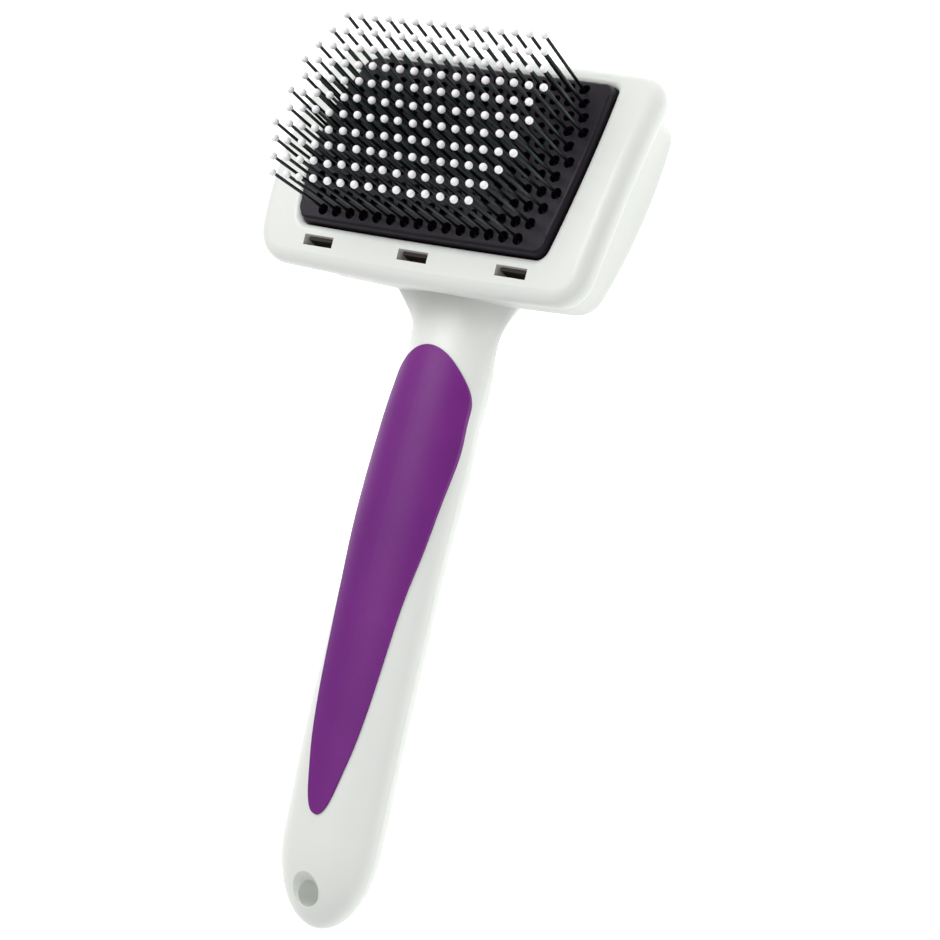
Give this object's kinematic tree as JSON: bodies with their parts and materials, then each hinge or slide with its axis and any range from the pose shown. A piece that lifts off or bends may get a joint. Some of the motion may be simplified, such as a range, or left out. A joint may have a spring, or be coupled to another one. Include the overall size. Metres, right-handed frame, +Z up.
{
  "type": "slicker brush",
  "caption": "Pet slicker brush: crowned rectangular head with ball-tipped wire pins, a lift plate that clears hair, sloping handle with soft grip and hang hole.",
  "frame": {"origin": "centre of the bounding box at its base, brush lying on its back", "axes": "+Y from the handle end to the head, +Z up, the pins lean 14.7 degrees from +Z towards +Y, +X across the head"},
  "size_m": [0.0976, 0.2017, 0.054],
  "materials": {
    "white_shell": "satin",
    "soft_purple": "soft satin",
    "purple_button": "satin",
    "black_plate": "satin",
    "inner_plastic": "matt",
    "pad_rubber": "matt",
    "pin_wire": "dark wire",
    "tip_plastic": "glossy",
    "steel": "plain"
  },
  "bodies": {
    "brush": {"back_shell": "white_shell", "front_shell": "white_shell", "pin_backing": "steel", "pin_bed": "inner_plastic", "pin_pad": "pad_rubber", "pin_row_01": "pin_wire", "pin_row_02": "pin_wire", "pin_row_03": "pin_wire", "pin_row_04": "pin_wire", "pin_row_05": "pin_wire", "pin_row_06": "pin_wire", "pin_row_07": "pin_wire", "pin_row_08": "pin_wire", "pin_row_09": "pin_wire", "pin_row_10": "pin_wire", "pin_row_11": "pin_wire", "return_spring_1": "steel", "return_spring_2": "steel", "return_spring_3": "steel", "return_spring_4": "steel", "shell_screws": "steel", "soft_grip": "soft_purple", "tip_row_01": "tip_plastic", "tip_row_02": "tip_plastic", "tip_row_03": "tip_plastic", "tip_row_04": "tip_plastic", "tip_row_05": "tip_plastic", "tip_row_06": "tip_plastic", "tip_row_07": "tip_plastic", "tip_row_08": "tip_plastic", "tip_row_09": "tip_plastic", "tip_row_10": "tip_plastic", "tip_row_11": "tip_plastic"},
    "lifter": {"lift_plate": "black_plate", "pusher_frame": "inner_plastic", "push_button": "purple_button", "plate_screws": "steel"}
  },
  "joints": [
    {"name": "lift_plate_slide", "type": "slide", "parent": "brush", "child": "lifter", "axis": [0, 0.2538, 0.9673], "range_m": [0, 0.006], "stiffness_N_per_m": 350, "springref_m": -0.004, "deforming": ["return_spring_1", "return_spring_2", "return_spring_3", "return_spring_4"]}
  ]
}
